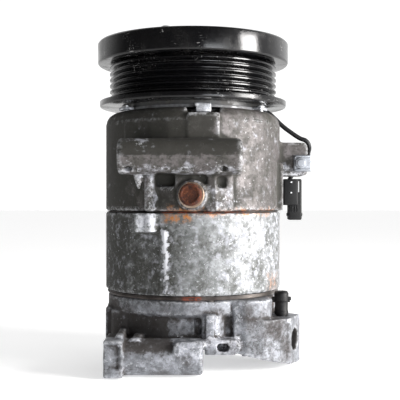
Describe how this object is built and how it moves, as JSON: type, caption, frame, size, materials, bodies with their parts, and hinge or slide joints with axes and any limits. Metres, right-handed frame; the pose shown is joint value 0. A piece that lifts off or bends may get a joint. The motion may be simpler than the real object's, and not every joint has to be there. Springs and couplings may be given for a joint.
{
  "type": "refrigeration scroll compressor",
  "caption": "Belt-driven refrigerant compressor with a ribbed clutch pulley, a cast casing with mounting tubes, and an orbiting scroll pump inside.",
  "frame": {"origin": "centre of the rear head's flat end face, on the shaft axis", "axes": "+Z along the shaft towards the pulley, -Y towards the side with the two long mounting tubes, +X towards the discharge port and the plug socket"},
  "size_m": [0.1314, 0.1335, 0.1993],
  "materials": {
    "cast_aluminium": "weathered sand-cast surface, oxidised and stained",
    "pulley_paint": "glossy black enamel, scratched to the metal",
    "bare_steel": "machined steel, light oil film",
    "bearing_steel": "ground bearing steel",
    "zinc_plate": "dull zinc plate",
    "rusted_steel": "rough red-brown rust",
    "copper": "dull copper",
    "scroll_alloy": "milled aluminium alloy",
    "gasket": "aged dark brown rubber-coated steel",
    "black_plastic": "black glass-filled plastic",
    "cable_sleeve": "black cable sleeve"
  },
  "bodies": {
    "casing": {"front_housing": "cast_aluminium", "shell": "cast_aluminium", "rear_head": "cast_aluminium", "front_gasket": "gasket", "rear_gasket": "gasket", "pulley_bearing_inner": "bearing_steel", "bearing_snap_ring": "bare_steel", "coil_housing": "zinc_plate", "clutch_coil": "copper", "shaft_seal": "gasket", "seal_snap_ring": "bare_steel", "nose_bearing": "bearing_steel", "main_bearing_outer": "bearing_steel", "fixed_scroll": "scroll_alloy", "thrust_plate": "bare_steel", "reed_retainer": "bare_steel", "reed_screw": "zinc_plate", "oil_plug": "rusted_steel", "plug_washer": "copper", "coil_lead": "cable_sleeve", "connector": "black_plastic", "connector_clip": "zinc_plate", "clip_screw": "zinc_plate", "thermal_switch": "black_plastic", "through_bolt_1": "zinc_plate", "through_bolt_2": "zinc_plate", "through_bolt_3": "zinc_plate", "through_bolt_4": "zinc_plate", "through_bolt_5": "zinc_plate", "coil_screw_1": "zinc_plate", "coil_screw_2": "zinc_plate", "coil_screw_3": "zinc_plate", "anti_rotation_pin_1": "bare_steel", "anti_rotation_pin_2": "bare_steel", "anti_rotation_pin_3": "bare_steel", "anti_rotation_pin_4": "bare_steel"},
    "pulley": {"pulley": "pulley_paint", "pulley_bearing_outer": "bearing_steel"},
    "pulley_cage": {"pulley_bearing_balls": "bearing_steel"},
    "crank": {"shaft": "bare_steel", "clutch_hub": "bare_steel", "leaf_spring_1": "bare_steel", "leaf_spring_2": "bare_steel", "leaf_spring_3": "bare_steel", "spring_rivet_1": "zinc_plate", "spring_rivet_2": "zinc_plate", "spring_rivet_3": "zinc_plate", "hub_bolt": "zinc_plate", "main_bearing_inner": "bearing_steel", "eccentric_bush": "bare_steel", "counterweight": "bare_steel"},
    "main_cage": {"main_bearing_balls": "bearing_steel"},
    "armature": {"armature_plate": "bare_steel"},
    "orbiter": {"orbiting_scroll": "scroll_alloy", "orbit_bearing": "bearing_steel", "anti_rotation_ring_1": "bearing_steel", "anti_rotation_ring_2": "bearing_steel", "anti_rotation_ring_3": "bearing_steel", "anti_rotation_ring_4": "bearing_steel"},
    "reed": {"discharge_reed": "bare_steel"}
  },
  "joints": [
    {"name": "pulley_spin", "type": "hinge", "parent": "casing", "child": "pulley", "pos_m": [0, 0, 0.16], "axis": [0, 0, 1], "continuous": true},
    {"name": "pulley_cage_spin", "type": "hinge", "parent": "casing", "child": "pulley_cage", "pos_m": [0, 0, 0.16], "axis": [0, 0, 1], "continuous": true},
    {"name": "shaft_spin", "type": "hinge", "parent": "casing", "child": "crank", "pos_m": [0, 0, 0.1], "axis": [0, 0, 1], "continuous": true},
    {"name": "main_cage_spin", "type": "hinge", "parent": "casing", "child": "main_cage", "pos_m": [0, 0, 0.1], "axis": [0, 0, 1], "continuous": true},
    {"name": "scroll_orbit", "type": "hinge", "parent": "crank", "child": "orbiter", "pos_m": [0.004, 0, 0.07], "axis": [0, 0, 1], "continuous": true},
    {"name": "armature_slide", "type": "slide", "parent": "crank", "child": "armature", "axis": [0, 0, -1], "range_m": [0, 0.0004], "stiffness_N_per_m": 20000},
    {"name": "reed_lift", "type": "hinge", "parent": "casing", "child": "reed", "pos_m": [-0.02, 0, 0.03045], "axis": [0, 1, 0], "range_deg": [0, 3.5], "stiffness_Nm_per_rad": 0.02, "springref_deg": -11.46}
  ],
  "couplings": [
    {"joint": "pulley_cage_spin", "follows": "pulley_spin", "ratio": 0.548},
    {"joint": "main_cage_spin", "follows": "shaft_spin", "ratio": 0.405},
    {"joint": "scroll_orbit", "follows": "shaft_spin", "ratio": -1}
  ]
}
